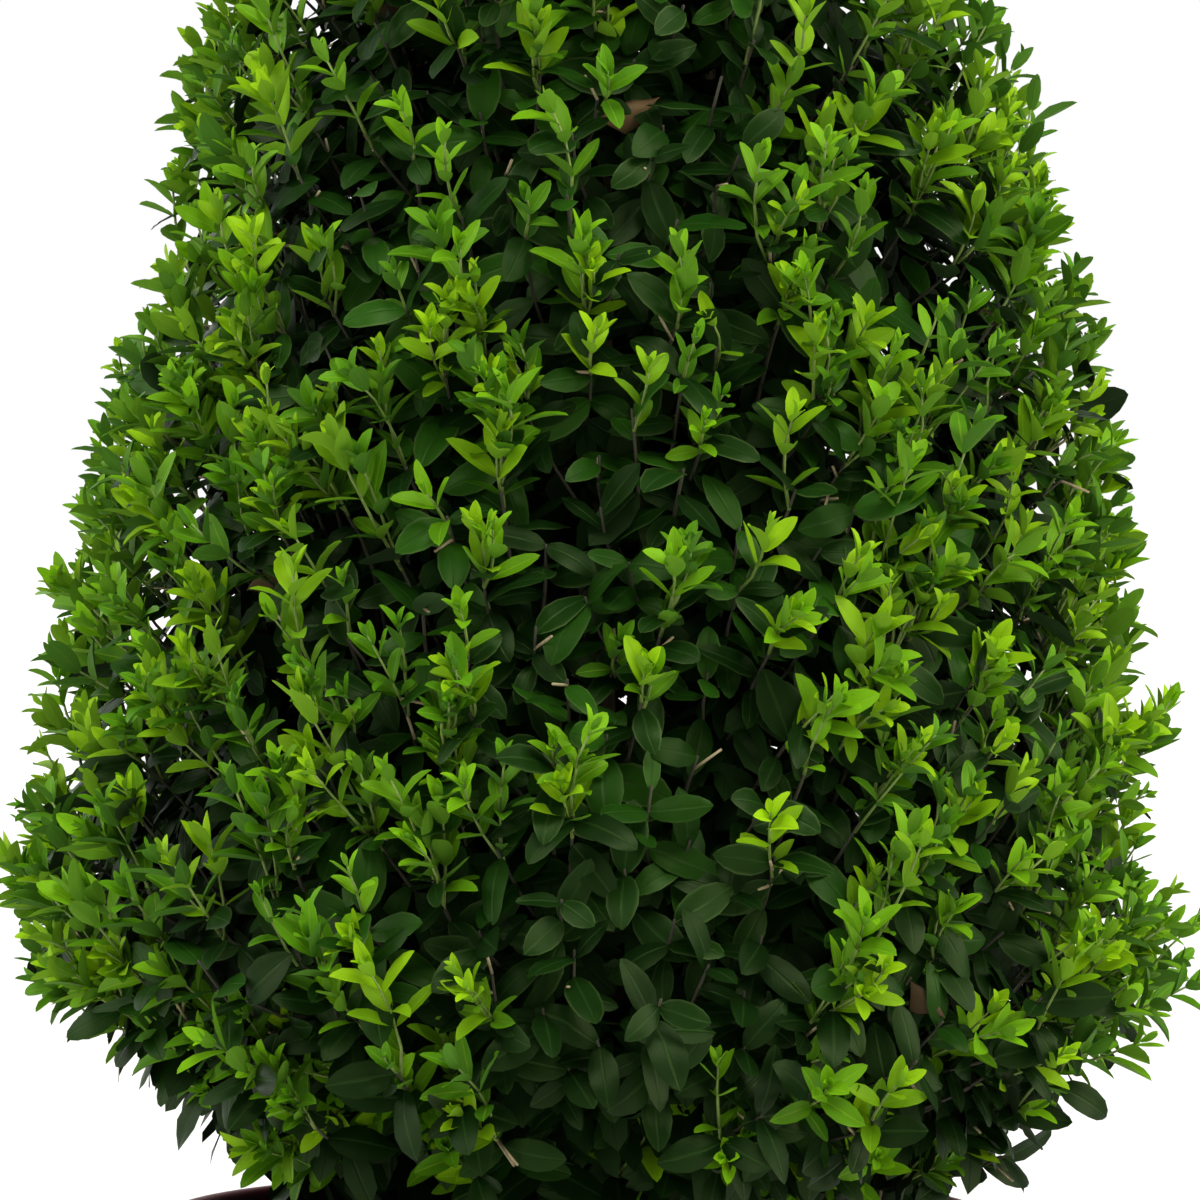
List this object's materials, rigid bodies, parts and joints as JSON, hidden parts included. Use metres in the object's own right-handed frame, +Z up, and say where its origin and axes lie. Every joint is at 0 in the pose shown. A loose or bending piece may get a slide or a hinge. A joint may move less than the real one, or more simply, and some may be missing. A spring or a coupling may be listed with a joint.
{
  "type": "boxwood cone topiary",
  "caption": "Potted boxwood clipped to a tall cone, bright young shoots over dark leaves, in a maroon plastic nursery pot",
  "frame": {"origin": "the middle of the pot's flat underside, at the mount underside", "axes": "+Z up from the plane z = 0 that the pot stands on; -Y towards the viewer of the main picture, +X to that viewer's right"},
  "size_m": [0.4215, 0.4194, 1.0954],
  "materials": {
    "pot": "moulded dark maroon plastic, satin, a little dusty",
    "compost": "dark damp potting compost, crumbly",
    "bark": "pale grey-brown finely cracked bark",
    "leaf": "small glossy evergreen leaves, bright yellow-green where young"
  },
  "bodies": {
    "root": {"pot": "pot", "compost": "compost", "stem": "bark", "leader": "bark", "bough_lower_1": "bark", "bough_lower_2": "bark", "bough_lower_3": "bark", "bough_lower_4": "bark", "bough_lower_5": "bark", "bough_lower_6": "bark", "bough_upper_1": "bark", "bough_upper_2": "bark", "bough_upper_3": "bark", "bough_upper_4": "bark", "bough_upper_5": "bark", "foliage_lower_1": "leaf", "foliage_lower_2": "leaf", "foliage_lower_3": "leaf", "foliage_lower_4": "leaf", "foliage_lower_5": "leaf", "foliage_lower_6": "leaf", "foliage_upper_1": "leaf", "foliage_upper_2": "leaf", "foliage_upper_3": "leaf", "foliage_upper_4": "leaf", "foliage_upper_5": "leaf", "foliage_top": "leaf"}
  },
  "joints": []
}
